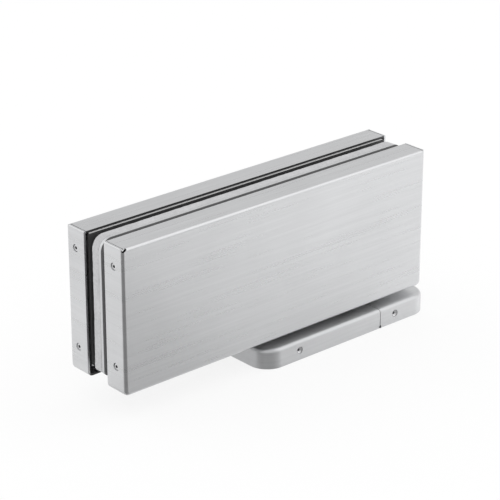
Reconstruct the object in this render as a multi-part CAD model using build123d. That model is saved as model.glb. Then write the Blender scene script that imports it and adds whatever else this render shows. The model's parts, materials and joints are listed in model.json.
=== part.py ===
from build123d import *
from math import acos, cos, pi, radians, sin, sqrt, tan
import os

# Hydraulic floor hinge for a frameless glass door, in millimetres.
# The origin is where the spindle's axis meets the floor. +Z is up, +X points to the
# pivot end of the door, and +Y to the side of the rear cover.

# The two folded covers
cover_length = 208.5
cover_height = 80.0
cover_depth = 14.4
cover_sheet = 1.2
cover_gap = 16.2                # between the rims of the two covers
cover_fold_radius = 2.0
cover_top_corner_radius = 1.0
cover_bottom_corner_radius = 3.0
corner_notch = 3.0              # relief where two folds meet at a top corner
fold_nick_radius = 0.8          # relief in the bottom fold
fold_nick_reach = 68.0          # of that relief, from the spindle's axis
least_fillet = 0.2              # inside a fold that is nearly sharp
pivot_to_end = 35.0             # from the spindle's axis to the covers' pivot end
swing_gap = 3.5                 # between the base covers and the folded covers

# Grub screws in the ends of the folded covers
cover_screw_radius = 2.0
cover_screw_length = 7.0
cover_screw_drop = 11.0         # below the covers' top
cover_screw_rise = 14.5         # above the covers' bottom

# The base on the floor
base_left_reach = 84.0          # from the spindle's axis
base_right_reach = 38.0
base_overhang = 4.0             # beyond the folded covers, front and back
base_cover_height = 10.9
base_cover_sheet = 1.5
base_corner_radius = 11.5
base_top_radius = 2.0
base_cover_clearance = 0.5      # between a base cover's walls and the base plate
base_roof_clearance = 0.4       # between a base cover's roof and the base plate
base_split = 0.3                # joint between the two base covers
split_notch_radius = 1.0        # at the foot of that joint
base_screw_radius = 2.0
base_screw_length = 6.0
base_screw_height = 5.6
long_cover_screw_inset = 24.5   # from the left end of the base
short_cover_screw_inset = 26.8  # from the right end of the base
floor_hole_radius = 3.3
floor_sink_radius = 6.3
floor_hole_end_inset = 12.0     # from the ends of the base plate
floor_hole_side_inset = 9.0     # from the sides of the base plate

# Spindle
spindle_radius = 8.0
spindle_foot_width = 11.0       # across the flats of the square foot
spindle_foot_floor = 1.5        # steel left under the foot
spindle_bearing_radius = 7.5
spindle_neck_radius = 5.0
bush_wall = 2.0
bush_length = 5.5
foot_screw_radius = 2.5
foot_screw_length = 10.0

# Lower bearing, seal and retainer
bearing_width = 5.0
bearing_outer_radius = 12.0
bearing_ring_wall = 1.5
bearing_ball_radius = 1.4
bearing_ball_count = 12
seal_thickness = 2.5
retainer_thickness = 1.5
retainer_notch_width = 2.0      # of the four spanner notches in the retainer
bearing_shoulder = 1.0          # metal between the bearing and the cylinder

# Rack and pinion
tooth_module = 1.0
pinion_teeth = 12
pressure_angle = 20.0           # degrees
rack_addendum_share = 0.65      # of the module, low enough for the small pinion
root_clearance_share = 0.25     # of the module
tooth_backlash = 0.25
pinion_length = 16.0
swing_angle = 90.0              # degrees, each way

# Cylinder and piston
cylinder_radius = 12.0
cylinder_roof = 6.0             # metal over the cylinder
end_room = 0.7                  # left free at the ends of the piston's travel
rack_lead = 3.0                 # rack beyond the travel, for the teeth in mesh
crosshead_length = 5.0
rod_radius = 5.0
rod_thread_radius = 4.0
head_length = 16.0
head_groove_width = 3.0
head_groove_depth = 2.0
check_bore_radius = 1.2
check_ball_radius = 2.0
check_pocket_radius = 2.4
check_pocket_depth = 9.0
check_plug_length = 3.0
check_offset = 7.5              # from the piston's axis
guide_ring_length = 5.0
retaining_ring_thickness = 1.2
retaining_ring_depth = 0.8      # into the cylinder's wall
retaining_ring_width = 2.1
spring_wire_radius = 1.75
spring_side_gap = 0.5           # between a spring and the cylinder's wall
spring_turns = 5
plug_length = 12.0
plug_o_ring_radius = 1.0
plug_hex_width = 10.0
plug_hex_depth = 6.0

# Oil channel and speed valves
channel_radius = 1.5
channel_plug_length = 4.0
channel_height = 5.5            # above the block's bottom
channel_offset = 9.0            # in front of the spindle's axis
valve_radius = 3.0
valve_tip_radius = 1.2
valve_tip_length = 3.0
valve_o_ring_radius = 0.6
closing_valve_inset = 31.0      # from the block's left end
valve_spacing = 50.0

# Castings, gaskets and clamp bolts
casting_face_gap = 1.1          # between a casting and a cover's face
casting_edge_gap = 1.8          # between a casting and a cover's folded edges
block_floor_gap = 0.4           # between the block and the covers' bottom folds
leg_width = 27.5                # of the clamp left of the block, with the cover's sheet
leg_lift = 5.0                  # of the clamp's foot, above the covers' bottom
flange_inset = 0.3              # of the pale flange, from the covers' outline
flange_thickness = 1.6
flange_top_radius = 6.8
flange_foot_radius = 3.0
glass_slot = 4.8                # as it stands with no glass in it
glass_slot_widest = 12.8        # with the clamp bolts slackened
front_gasket_thickness = 5.75
front_gasket_back = 2.2         # the rear face of the front gasket, from the spindle's axis
rear_gasket_thickness = 1.5
rear_gasket_side_inset = 2.4
rear_gasket_top_inset = 1.3
part_gap = 1.0                  # between castings that slide past each other
sleeve_radius = 6.0             # of the threaded sleeves for the clamp bolts
sleeve_gap = 0.8                # between a sleeve and the front casting
bolt_radius = 3.0
bolt_hold = 9.5                 # thread left in a sleeve with the slot at its widest
bolt_head_radius = 5.0
bolt_head_height = 6.0
bolt_hex_width = 5.0
bolt_seat_depth = 8.5           # of the counterbore for a bolt head
washer_radius = 5.4
washer_thickness = 1.2
top_bolt_count = 4
leg_bolt_rise = 13.0            # above the covers' bottom
pocket_wall = 3.4
front_pocket_depth = 11.0
rear_pocket_depth = 7.0
right_leg_length = 5.0          # of the front casting's narrow leg, along X
plate_screw_radius = 2.0
plate_screw_head_radius = 3.2
plate_screw_head_height = 4.0
plate_screw_hex_width = 3.0
plate_screw_depth = 9.0         # of the thread in the block

# Fits
running = 0.05                  # radial clearance of what moves
seated = 0.02                   # radial clearance of what is fixed in a bore
screw_recess = 0.4              # of a grub screw's end below the surface
screw_hole_room = 0.25          # round a grub screw where it passes a cover
cut_over = 1.0                  # how far a cut runs past the metal

# Derived sizes of the covers
rim_y = cover_gap / 2
face_y = rim_y + cover_depth
inner_face_y = face_y - cover_sheet
left_x = pivot_to_end - cover_length
right_x = pivot_to_end
bottom_z = base_cover_height + swing_gap
top_z = bottom_z + cover_height
cover_mid_y = rim_y + cover_depth / 2
upper_screw_z = top_z - cover_screw_drop
lower_screw_z = bottom_z + cover_screw_rise

# Derived sizes of the castings
casting_y = inner_face_y - casting_face_gap
casting_left = left_x + cover_sheet + casting_edge_gap
casting_right = right_x - cover_sheet - casting_edge_gap
casting_top = top_z - cover_sheet - casting_edge_gap
block_left = left_x + leg_width
block_right = casting_right
block_bottom = bottom_z + cover_sheet + block_floor_gap
leg_bottom = bottom_z + leg_lift
right_leg_inner = casting_right - right_leg_length

# Derived heights of the spindle's stack and the cylinder
seal_z = block_bottom + retainer_thickness
bearing_z = seal_z + seal_thickness
bearing_top = bearing_z + bearing_width
cylinder_z = bearing_top + bearing_shoulder + cylinder_radius
cylinder_top = cylinder_z + cylinder_radius
block_top = cylinder_top + cylinder_roof
pinion_bottom = cylinder_z - pinion_length / 2
pinion_top = cylinder_z + pinion_length / 2
bearing_seat_radius = bearing_outer_radius + seated
bearing_mid_z = bearing_z + bearing_width / 2
ball_circle_radius = (spindle_bearing_radius + bearing_outer_radius) / 2
bush_radius = spindle_neck_radius + running + bush_wall
bush_top = block_top - part_gap

# Derived sizes of the teeth
pitch_radius = tooth_module * pinion_teeth / 2
tip_radius = pitch_radius + tooth_module
rack_addendum = rack_addendum_share * tooth_module
root_clearance = root_clearance_share * tooth_module
root_radius = pitch_radius - rack_addendum - root_clearance
base_circle_radius = pitch_radius * cos(radians(pressure_angle))
tooth_pitch = pi * tooth_module
tooth_width = (tooth_pitch - tooth_backlash) / 2
rack_root_y = tip_radius + root_clearance
piston_travel = pitch_radius * radians(swing_angle)

# Derived places along the cylinder
piston_radius = cylinder_radius - running
rack_right = piston_travel + rack_lead
cylinder_end = rack_right + piston_travel + end_room
crosshead_right = -(spindle_bearing_radius + end_room + piston_travel)
crosshead_left = crosshead_right - crosshead_length
retaining_right = crosshead_left - piston_travel - end_room
guide_right = retaining_right - retaining_ring_thickness
guide_left = guide_right - guide_ring_length
plug_right = block_left + plug_length
spring_room = (guide_left - plug_right - head_length) / 2
head_left = plug_right + spring_room
head_right = head_left + head_length
thread_end = head_left + head_length / 4

# Derived sizes of the clamp
rear_gasket_front = front_gasket_back + glass_slot
rear_plate_y = rear_gasket_front + rear_gasket_thickness
flange_back = front_gasket_back - front_gasket_thickness
flange_front = flange_back - flange_thickness
clamp_travel = glass_slot_widest - glass_slot
sleeve_front = flange_back + sleeve_gap
clamp_bottom = block_top + part_gap
clamp_right = block_left - part_gap
bolt_z = clamp_bottom + sleeve_radius
bolt_x = clamp_right - sleeve_radius
gasket_bottom = bolt_z + sleeve_radius + part_gap
gasket_right = bolt_x - sleeve_radius - part_gap
last_bolt_x = right_leg_inner - sleeve_radius
bolt_spacing = (last_bolt_x - bolt_x) / (top_bolt_count - 1)
bolt_seat_y = -casting_y + bolt_seat_depth
bolt_length = sleeve_front + bolt_hold + clamp_travel - bolt_seat_y + washer_thickness
bolt_places = [(bolt_x + bolt_spacing * n, bolt_z) for n in range(top_bolt_count)]
bolt_places.append((bolt_x, bottom_z + leg_bolt_rise))

# Derived sizes of the base
base_half_width = face_y + base_overhang
plate_inset = base_cover_sheet + base_cover_clearance
plate_left = -base_left_reach + plate_inset
plate_right = base_right_reach - plate_inset
plate_half_width = base_half_width - plate_inset
plate_thickness = base_cover_height - base_cover_sheet - base_roof_clearance
foot_screw_z = (spindle_foot_floor + plate_thickness) / 2
base_screw_places = [-base_left_reach + long_cover_screw_inset, base_right_reach - short_cover_screw_inset]

# Derived places of the oil channel
channel_z = block_bottom + channel_height
valve_length = casting_y - channel_offset - channel_radius
closing_valve_x = block_left + closing_valve_inset
latching_valve_x = closing_valve_x + valve_spacing
left_port_x = (plug_right + closing_valve_x) / 2
right_port_x = guide_left - channel_radius * 3


def box_between(low, high):
    """A box between its lowest and its highest corner."""
    middle = [(a + b) / 2 for a, b in zip(low, high)]
    size = [b - a for a, b in zip(low, high)]
    return Pos(*middle) * Box(*size)


def bar(start, direction, radius, length):
    """A round bar that starts at a point and runs along a direction."""
    standing = (Align.CENTER, Align.CENTER, Align.MIN)
    return Plane(origin=start, z_dir=direction) * Cylinder(radius, length, align=standing)


def ring(start, direction, outer, inner, length):
    """A flat-ended ring or tube."""
    return bar(start, direction, outer, length) - bar(start, direction, inner, length)


def hex_bar(start, direction, width, length):
    """A hexagonal bar, given its width across the flats."""
    outline = RegularPolygon(width / 2, 6, major_radius=False)
    return extrude(Plane(origin=start, z_dir=direction) * outline, length)


def o_ring(centre, direction, outer, section):
    """A round rubber ring, given its outer radius and the radius of its section."""
    return Plane(origin=centre, z_dir=direction) * Torus(outer - section, section)


def grub_screw(start, direction, radius, length):
    """A grub screw with a hexagon socket in the end that it starts from."""
    body = bar(start, direction, radius, length)
    body = chamfer(body.edges().filter_by(GeomType.CIRCLE), radius / 6)
    return body - hex_bar(start, direction, radius, length / 3)


def all_of(shapes):
    """Several separate solids as one group."""
    return Compound([solid for shape in shapes for solid in shape.solids()])


# Folded covers

def tray(inset, corner_inset, fold):
    """The body of a folded cover, or its inside, with its open side at the glass."""
    depth_start = rim_y - inset
    low = (left_x + inset, depth_start, bottom_z + inset)
    high = (right_x - inset, face_y - inset, top_z - inset)
    body = box_between(low, high)
    corners = body.edges().filter_by(Axis.Y).sort_by(Axis.Z)
    body = fillet(corners[2:], max(cover_top_corner_radius - corner_inset, least_fillet))
    corners = body.edges().filter_by(Axis.Y).sort_by(Axis.Z)
    body = fillet(corners[:2], max(cover_bottom_corner_radius - corner_inset, least_fillet))
    return fillet(body.faces().sort_by(Axis.Y)[-1].edges(), fold)


def end_screw_starts(side):
    """The four places of a cover's grub screws, with the way that each points."""
    y = side * cover_mid_y
    places = []
    for x, way in ((left_x + screw_recess, 1), (right_x - screw_recess, -1)):
        for z in (upper_screw_z, lower_screw_z):
            places.append(((x, y, z), (way, 0, 0)))
    return places


def folded_cover():
    """The rear cover: one sheet folded on four sides, with a relief at its top corners."""
    inner_fold = max(cover_fold_radius - cover_sheet, least_fillet)
    shell = tray(0, 0, cover_fold_radius) - tray(cover_sheet, cover_sheet, inner_fold)
    for x in (left_x, right_x):
        relief = Pos(x, face_y, top_z) * Rot(0, 0, 45) * Box(corner_notch, corner_notch, corner_notch)
        shell = shell - relief
    nick_start = (-fold_nick_reach, face_y + cut_over, bottom_z)
    shell = shell - bar(nick_start, (0, -1, 0), fold_nick_radius, cut_over + cover_fold_radius)
    for (x, y, z), way in end_screw_starts(1):
        hole_start = (x - way[0] * cover_sheet, y, z)
        hole = bar(hole_start, way, cover_screw_radius + screw_hole_room, cover_sheet * 3)
        shell = shell - hole
    return shell


def cover_screws(side):
    """The four grub screws that hold one cover to its casting."""
    screws = []
    for start, way in end_screw_starts(side):
        screws.append(grub_screw(start, way, cover_screw_radius, cover_screw_length))
    return all_of(screws)


def cover_screw_holes(side):
    """The threaded holes of those grub screws, as bars to cut with."""
    holes = []
    for (x, y, z), way in end_screw_starts(side):
        depth = cover_screw_length + end_room
        holes.append(bar((x, y, z), way, cover_screw_radius + seated, depth))
    return holes


# Castings of the clamp and the closer

def clamp_plate(near, far, left, top, bottom, right, inner_bottom, inner_right):
    """A plate over the slot's two arms: along the top, and down the left end."""
    plate = box_between((left, near, bottom), (right, far, top))
    low = (inner_right, near - cut_over, bottom - cut_over)
    high = (right + cut_over, far + cut_over, inner_bottom)
    return plate - box_between(low, high)


def rounded_clamp_plate(near, far, inset_side, inset_top, inner_bottom, inner_right):
    """A clamp plate with the round corners that show in the slot."""
    left = left_x + inset_side
    right = right_x - inset_side
    top = top_z - inset_top
    plate = clamp_plate(near, far, left, top, leg_bottom, right, inner_bottom, inner_right)
    upright = plate.edges().filter_by(Axis.Y)
    top_edges = [e for e in upright if abs((e @ 0.5).Z - top) < seated]
    plate = fillet(top_edges, flange_top_radius)
    upright = plate.edges().filter_by(Axis.Y)
    foot_edges = [e for e in upright if abs((e @ 0.5).Z - leg_bottom) < seated]
    foot_edges = [e for e in foot_edges if abs((e @ 0.5).X - left) < seated]
    return fillet(foot_edges, flange_foot_radius)


def bolt_holes(radius):
    """Bars through the castings at the clamp bolts, to cut with."""
    return [bar((x, -face_y, z), (0, 1, 0), radius, face_y * 2) for x, z in bolt_places]


def pocket_spans():
    """The spans along X between neighbouring bolts, where a casting is hollowed."""
    spans = []
    for (near, _), (far, _) in zip(bolt_places[:top_bolt_count], bolt_places[1:top_bolt_count]):
        spans.append((near + sleeve_radius + pocket_wall, far - sleeve_radius - pocket_wall))
    return spans


def pockets(open_y, floor_y):
    """Round-cornered hollows that lighten a casting from its hidden side."""
    low, high = sorted((open_y, floor_y))
    hollows = []
    for near, far in pocket_spans():
        low_z, high_z = clamp_bottom + pocket_wall, casting_top - pocket_wall
        hollow = box_between((near, low, low_z), (far, high, high_z))
        hollows.append(fillet(hollow.edges().filter_by(Axis.Y), pocket_wall / 2))
    return hollows


def closer_block():
    """The closer's block round the cylinder, with the corner left out for the front leg."""
    block = box_between((block_left, -casting_y, block_bottom), (block_right, casting_y, block_top))
    corner = box_between(
        (right_leg_inner - part_gap, -casting_y - cut_over, block_bottom - cut_over),
        (block_right + cut_over, -rim_y, block_top + cut_over),
    )
    block = block - corner
    return chamfer(block.edges().filter_by(Axis.X), part_gap / 2)


def closer_bores():
    """Every bore in the closer's block, as bars to cut with."""
    axis_start = (block_left - cut_over, 0, cylinder_z)
    groove_start = (guide_right, 0, cylinder_z)
    groove_radius = cylinder_radius + retaining_ring_depth + seated
    channel_start = (block_left - cut_over, -channel_offset, channel_z)
    channel_length = right_port_x - block_left + cut_over + channel_radius
    seat_start = (0, 0, block_bottom - cut_over)
    seat_depth = bearing_top - block_bottom + cut_over
    neck_start = (0, 0, bearing_top - cut_over)
    cuts = [
        bar(axis_start, (1, 0, 0), cylinder_radius, cylinder_end - block_left + cut_over),
        bar(groove_start, (1, 0, 0), groove_radius, retaining_ring_thickness),
        bar(seat_start, (0, 0, 1), bearing_seat_radius, seat_depth),
        bar(neck_start, (0, 0, 1), spindle_radius, cylinder_radius),
        bar((0, 0, cylinder_z), (0, 0, 1), bush_radius + seated, bush_top - cylinder_z),
        bar(channel_start, (1, 0, 0), channel_radius, channel_length),
    ]
    for x in (left_port_x, right_port_x):
        cuts.append(bar((x, -channel_offset, channel_z), (0, 0, 1), channel_radius, cylinder_radius))
    for x in (closing_valve_x, latching_valve_x):
        mouth = (x, -casting_y - cut_over, channel_z)
        depth = cut_over + valve_length + end_room
        cuts.append(bar(mouth, (0, 1, 0), valve_radius + running, depth))
        cuts.append(bar(mouth, (0, 1, 0), valve_tip_radius + running, depth + valve_tip_length))
    return cuts


def plate_screw_starts():
    """Where the heads of the screws between the rear clamp plate and the block stand."""
    y = casting_y - rear_pocket_depth / 2
    z = clamp_bottom + pocket_wall
    return [((near + far) / 2, y, z) for near, far in pocket_spans()]


def plate_screw_holes(radius):
    """Bars down from the rear clamp plate's pockets into the block, to cut with."""
    depth = clamp_bottom + pocket_wall - block_top + plate_screw_depth + end_room
    return [bar(start, (0, 0, -1), radius, depth) for start in plate_screw_starts()]


def make_closer_body():
    """The die-cast block round the cylinder."""
    body = closer_block()
    for cut in closer_bores() + plate_screw_holes(plate_screw_radius + seated) + cover_screw_holes(1):
        body = body - cut
    return body


def make_rear_clamp_plate():
    """The rear casting, which stands on the block and beside it, hollowed from behind."""
    plate = clamp_plate(
        rear_plate_y, casting_y, casting_left, casting_top, leg_bottom, casting_right,
        block_top, block_left,
    )
    for cut in pockets(casting_y + cut_over, casting_y - rear_pocket_depth):
        plate = plate - cut
    for cut in bolt_holes(sleeve_radius + seated) + plate_screw_holes(plate_screw_radius + running):
        plate = plate - cut
    for cut in cover_screw_holes(1):
        plate = plate - cut
    return plate


def make_clamp_sleeves():
    """Five threaded sleeves in the rear casting, which take the clamp bolts."""
    sleeves = []
    for x, z in bolt_places:
        start = (x, sleeve_front, z)
        length = casting_y - sleeve_front
        sleeves.append(ring(start, (0, 1, 0), sleeve_radius, bolt_radius + running, length))
    return all_of(sleeves)


def make_plate_screws():
    """Socket head screws that hold the rear casting on the block."""
    screws = []
    for x, y, z in plate_screw_starts():
        top = (x, y, z + plate_screw_head_height)
        head = bar(top, (0, 0, -1), plate_screw_head_radius, plate_screw_head_height)
        head = head - hex_bar(top, (0, 0, -1), plate_screw_hex_width, plate_screw_head_height / 2)
        shank_length = z - block_top + plate_screw_depth
        screws.append(head + bar((x, y, z), (0, 0, -1), plate_screw_radius, shank_length))
    return all_of(screws)


def make_front_clamp_plate():
    """The front casting: the pale flange, the ribbed carrier behind the cover and its narrow leg."""
    flange = rounded_clamp_plate(
        flange_front, flange_back, flange_inset, flange_inset, clamp_bottom, clamp_right
    )
    carrier = clamp_plate(
        -casting_y, flange_front, casting_left, casting_top, leg_bottom, casting_right,
        clamp_bottom, clamp_right,
    )
    corners = [e for e in carrier.edges().filter_by(Axis.Y) if abs((e @ 0.5).Z - casting_top) < seated]
    carrier = fillet(corners, flange_top_radius - casting_edge_gap)
    narrow_leg = box_between(
        (right_leg_inner, -casting_y, leg_bottom), (casting_right, -rim_y - part_gap, clamp_bottom)
    )
    plate = flange + carrier + narrow_leg
    for cut in pockets(-casting_y - cut_over, -casting_y + front_pocket_depth):
        plate = plate - cut
    for x, z in bolt_places:
        mouth = (x, -casting_y - cut_over, z)
        plate = plate - bar(mouth, (0, 1, 0), washer_radius + running, bolt_seat_depth + cut_over)
    for cut in bolt_holes(bolt_radius + screw_hole_room) + cover_screw_holes(-1):
        plate = plate - cut
    return plate


# Gaskets

def make_front_gasket():
    """The pale fibre gasket on the front flange."""
    return rounded_clamp_plate(
        flange_back, front_gasket_back, flange_inset, flange_inset, gasket_bottom, gasket_right
    )


def make_rear_gasket():
    """The black gasket on the rear clamp plate."""
    return rounded_clamp_plate(
        rear_gasket_front, rear_plate_y, rear_gasket_side_inset, rear_gasket_top_inset,
        gasket_bottom, gasket_right,
    )


# Clamp bolts

def make_clamp_bolts():
    """Five socket head bolts from the front casting into the rear casting's sleeves."""
    head_y = bolt_seat_y - washer_thickness
    bolts = []
    for x, z in bolt_places:
        start = (x, head_y - bolt_head_height, z)
        head = bar(start, (0, 1, 0), bolt_head_radius, bolt_head_height)
        head = head - hex_bar(start, (0, 1, 0), bolt_hex_width, bolt_head_height / 2)
        bolts.append(head + bar((x, head_y, z), (0, 1, 0), bolt_radius, bolt_length))
    return all_of(bolts)


def make_clamp_washers():
    """A flat washer under each bolt head."""
    washers = []
    for x, z in bolt_places:
        start = (x, bolt_seat_y - washer_thickness, z)
        washers.append(ring(start, (0, 1, 0), washer_radius, bolt_radius + seated, washer_thickness))
    return all_of(washers)


# Spindle and its bearings

def involute_turn(radius):
    """The angle that an involute has turned by when it reaches a radius."""
    if radius <= base_circle_radius:
        return 0
    slope = acos(base_circle_radius / radius)
    return tan(slope) - slope


def pinion_tooth(direction):
    """One tooth of the pinion, pointing along a direction in radians."""
    half_at_pitch = tooth_width / 2 / pitch_radius
    flank_start = max(base_circle_radius, root_radius)
    radii = [flank_start + (tip_radius - flank_start) * share for share in (0, 0.35, 0.7, 1)]
    right, left = [], []
    for radius in radii:
        half = half_at_pitch + involute_turn(pitch_radius) - involute_turn(radius)
        right.append((radius * cos(direction - half), radius * sin(direction - half)))
        left.append((radius * cos(direction + half), radius * sin(direction + half)))
    inner = root_radius * 0.9
    foot_half = half_at_pitch + involute_turn(pitch_radius)
    right_foot = (inner * cos(direction - foot_half), inner * sin(direction - foot_half))
    left_foot = (inner * cos(direction + foot_half), inner * sin(direction + foot_half))
    outline = [
        Line(right_foot, right[0]),
        Spline(*right),
        Line(right[-1], left[-1]),
        Spline(*reversed(left)),
        Line(left[0], left_foot),
        Line(left_foot, right_foot),
    ]
    face = make_face(Curve() + outline)
    return extrude(Pos(0, 0, pinion_bottom) * face, pinion_length)


def make_spindle():
    """The spindle: square foot, round neck, bearing seat, pinion and top journal."""
    foot_half = spindle_foot_width / 2
    foot = box_between(
        (-foot_half, -foot_half, spindle_foot_floor + seated), (foot_half, foot_half, plate_thickness)
    )
    foot = chamfer(foot.edges().filter_by(Axis.Z), foot_half / 8)
    spindle = foot + bar((0, 0, plate_thickness), (0, 0, 1), spindle_radius, bearing_z - plate_thickness)
    spindle = spindle + bar(
        (0, 0, bearing_z), (0, 0, 1), spindle_bearing_radius, pinion_bottom - bearing_z
    )
    spindle = spindle + bar((0, 0, pinion_bottom), (0, 0, 1), root_radius, pinion_length)
    for number in range(pinion_teeth):
        spindle = spindle + pinion_tooth(pi / 2 + 2 * pi * number / pinion_teeth)
    journal_length = bush_top - end_room - pinion_top
    return spindle + bar((0, 0, pinion_top), (0, 0, 1), spindle_neck_radius, journal_length)


def ball_track():
    """The groove that the balls run in, as a torus to cut with."""
    return Pos(0, 0, bearing_mid_z) * Torus(ball_circle_radius, bearing_ball_radius + running)


def ball_centres():
    """The centres of the bearing's balls."""
    turns = [2 * pi * number / bearing_ball_count for number in range(bearing_ball_count)]
    return [(ball_circle_radius * cos(t), ball_circle_radius * sin(t), bearing_mid_z) for t in turns]


def make_bearing_inner_ring():
    """The bearing's inner ring, on the spindle."""
    outer = spindle_bearing_radius + bearing_ring_wall
    body = ring((0, 0, bearing_z), (0, 0, 1), outer, spindle_bearing_radius + seated, bearing_width)
    return body - ball_track()


def make_bearing_outer_ring():
    """The bearing's outer ring, in the closer's block."""
    inner = bearing_outer_radius - bearing_ring_wall
    body = ring((0, 0, bearing_z), (0, 0, 1), bearing_outer_radius, inner, bearing_width)
    return body - ball_track()


def make_bearing_balls():
    """The balls of the lower bearing."""
    return all_of([Pos(*centre) * Sphere(bearing_ball_radius) for centre in ball_centres()])


def make_bearing_cage():
    """The cage between the bearing's rings, with a round window for each ball."""
    wall = bearing_ball_radius / 5
    start = (0, 0, bearing_mid_z - bearing_width * 0.4)
    cage = ring(start, (0, 0, 1), ball_circle_radius + wall, ball_circle_radius - wall, bearing_width * 0.8)
    for x, y, z in ball_centres():
        window = bar((0, 0, z), (x, y, 0), bearing_ball_radius + running, bearing_outer_radius)
        cage = cage - window
    return cage


def make_spindle_seal():
    """The oil seal round the spindle, hollowed from below behind its lip."""
    seal = ring((0, 0, seal_z), (0, 0, 1), bearing_outer_radius, spindle_radius + running, seal_thickness)
    hollow_outer = bearing_outer_radius - bearing_ring_wall
    hollow_inner = spindle_radius + bearing_ring_wall
    return seal - ring((0, 0, seal_z), (0, 0, 1), hollow_outer, hollow_inner, seal_thickness / 2)


def make_seal_retainer():
    """The threaded ring that holds the seal and the bearing, with four spanner notches."""
    start = (0, 0, block_bottom)
    hole = spindle_radius + screw_hole_room
    retainer = ring(start, (0, 0, 1), bearing_outer_radius, hole, retainer_thickness)
    notch_size = (retainer_notch_width, retainer_notch_width, retainer_thickness)
    notch = Pos(bearing_outer_radius, 0, block_bottom) * Box(*notch_size)
    for number in range(4):
        retainer = retainer - Rot(0, 0, 90 * number + 45) * notch
    return retainer


def make_top_bush():
    """The bush of the spindle's upper journal."""
    start = (0, 0, bush_top - bush_length)
    return ring(start, (0, 0, 1), bush_radius, spindle_neck_radius + running, bush_length)


# Piston, springs and the parts that close the cylinder

def rack_outline():
    """The rack's side towards the pinion, with a gap between teeth at the spindle's axis."""
    slope = tan(radians(pressure_angle))
    tip_y = pitch_radius - rack_addendum
    half_at_tip = tooth_width / 2 - rack_addendum * slope
    half_at_root = tooth_width / 2 + (rack_root_y - pitch_radius) * slope
    count = int((rack_right - half_at_root) / tooth_pitch + 0.5)
    points = [(crosshead_left, cylinder_radius), (crosshead_left, rack_root_y)]
    for number in range(-count, count):
        middle = (number + 0.5) * tooth_pitch
        points.append((middle - half_at_root, rack_root_y))
        points.append((middle - half_at_tip, tip_y))
        points.append((middle + half_at_tip, tip_y))
        points.append((middle + half_at_root, rack_root_y))
    points.append((rack_right, rack_root_y))
    points.append((rack_right, cylinder_radius))
    return points


def make_rack_rod():
    """The piston rod, in one piece with its crosshead and the rack."""
    half_height = pinion_length / 2 - end_room / 3
    outline = make_face(Polyline(*rack_outline(), close=True))
    rack = extrude(Pos(0, 0, cylinder_z - half_height) * outline, 2 * half_height)
    whole_length = rack_right - crosshead_left
    rack = rack & bar((crosshead_left, 0, cylinder_z), (1, 0, 0), piston_radius, whole_length)
    crosshead = bar((crosshead_left, 0, cylinder_z), (1, 0, 0), piston_radius, crosshead_length)
    rod = bar((head_right, 0, cylinder_z), (1, 0, 0), rod_radius, crosshead_left - head_right)
    thread = bar((thread_end, 0, cylinder_z), (1, 0, 0), rod_thread_radius, head_right - thread_end)
    return rack + crosshead + rod + thread


def make_piston_head():
    """The piston: a seal groove, the rod's threaded hole and the check valve's pocket."""
    head = bar((head_left, 0, cylinder_z), (1, 0, 0), piston_radius, head_length)
    groove_start = (head_left + (head_length - head_groove_width) / 2, 0, cylinder_z)
    inner = piston_radius - head_groove_depth
    head = head - ring(groove_start, (1, 0, 0), cylinder_radius, inner, head_groove_width)
    head = head - bar(
        (thread_end - end_room, 0, cylinder_z), (1, 0, 0), rod_thread_radius + seated, head_length
    )
    side_z = cylinder_z + check_offset
    mouth = (head_left - cut_over, 0, side_z)
    head = head - bar(mouth, (1, 0, 0), check_bore_radius, head_length + 2 * cut_over)
    return head - bar(mouth, (1, 0, 0), check_pocket_radius, check_pocket_depth + cut_over)


def make_piston_seal_ring():
    """The ring in the piston's groove."""
    start = (head_left + (head_length - head_groove_width) / 2 + seated, 0, cylinder_z)
    inner = piston_radius - head_groove_depth + seated
    return ring(start, (1, 0, 0), piston_radius + seated, inner, head_groove_width - 2 * seated)


def make_check_valve_ball():
    """The ball of the check valve, on the edge of its bore."""
    seat_x = head_left + check_pocket_depth
    stand_off = sqrt(check_ball_radius**2 - check_bore_radius**2)
    centre = (seat_x - stand_off - seated, 0, cylinder_z + check_offset)
    return Pos(*centre) * Sphere(check_ball_radius)


def make_check_valve_plug():
    """The plug that keeps the ball in its pocket."""
    start = (head_left, 0, cylinder_z + check_offset)
    return ring(start, (1, 0, 0), check_pocket_radius - seated, check_bore_radius, check_plug_length)


def make_spring(start_x, end_x):
    """A closing spring between two faces of the cylinder."""
    radius = cylinder_radius - spring_side_gap - spring_wire_radius
    margin = spring_wire_radius + running
    length = end_x - start_x - 2 * margin
    coil = Helix(length / spring_turns, length, radius, center=(0, 0, 0))
    wire = Plane(origin=coil @ 0, z_dir=coil % 0) * Circle(spring_wire_radius)
    spring = sweep(wire, path=coil, is_frenet=True)
    return Plane(origin=(start_x + margin, 0, cylinder_z), z_dir=(1, 0, 0)) * spring


def make_guide_ring():
    """The ring that guides the piston rod and carries the right spring."""
    start = (guide_left, 0, cylinder_z)
    return ring(start, (1, 0, 0), cylinder_radius - seated, rod_radius + running, guide_ring_length)


def make_guide_retaining_ring():
    """The split ring in the cylinder's groove that stops the guide ring."""
    start = (guide_right, 0, cylinder_z)
    outer = cylinder_radius + retaining_ring_depth
    inner = outer - retaining_ring_depth - retaining_ring_width
    body = ring(start, (1, 0, 0), outer, inner, retaining_ring_thickness)
    opening = box_between(
        (guide_right - cut_over, -retaining_ring_width, cylinder_z),
        (retaining_right + cut_over, retaining_ring_width, cylinder_z + 2 * outer),
    )
    return body - opening


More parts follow.
